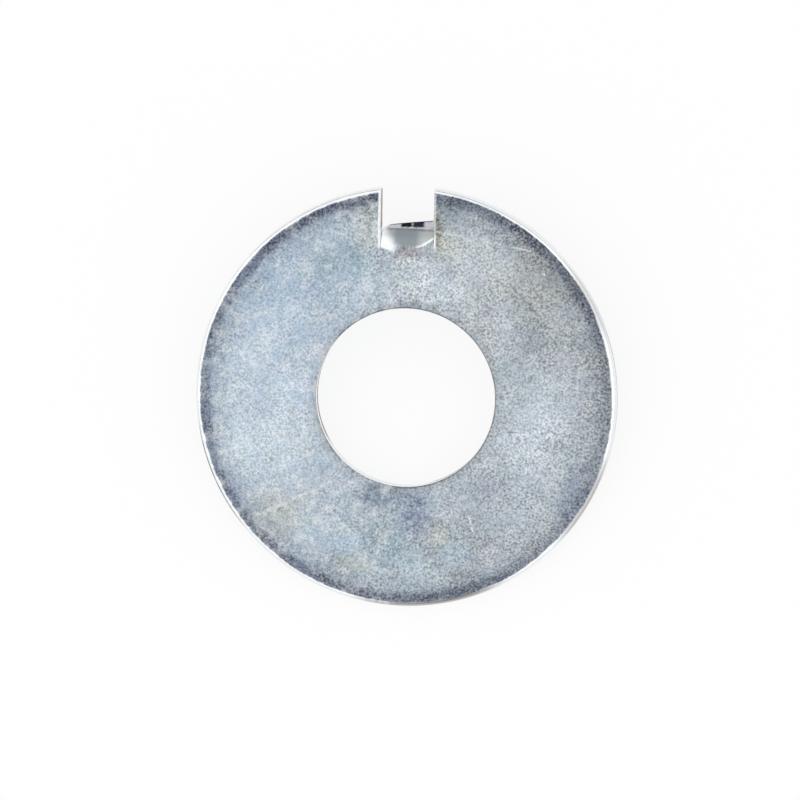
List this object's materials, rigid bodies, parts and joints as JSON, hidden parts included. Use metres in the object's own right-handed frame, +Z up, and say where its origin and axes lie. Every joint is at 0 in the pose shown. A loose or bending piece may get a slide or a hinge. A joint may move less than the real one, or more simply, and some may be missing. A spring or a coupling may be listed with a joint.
{
  "type": "tab lock washer",
  "caption": "Flat round sheet-steel washer with a narrow tab cut from its rim and bent down, which drops into a slot or hole and stops the washer turning under a nut.",
  "frame": {"origin": "on the surface that the washer lies on, under the middle of the bore", "axes": "+Z up; +X across the tab; the tab is at +Y and points down, so the washer leans on it and the bore's axis leans 8 degrees from +Z towards -Y"},
  "size_m": [0.0318, 0.0314, 0.0055],
  "materials": {
    "zinc_plated_steel": "mild steel with matt bright zinc plating, faintly blue, darker and stained along the rim"
  },
  "bodies": {
    "root": {"tab_washer": "zinc_plated_steel"}
  },
  "joints": []
}
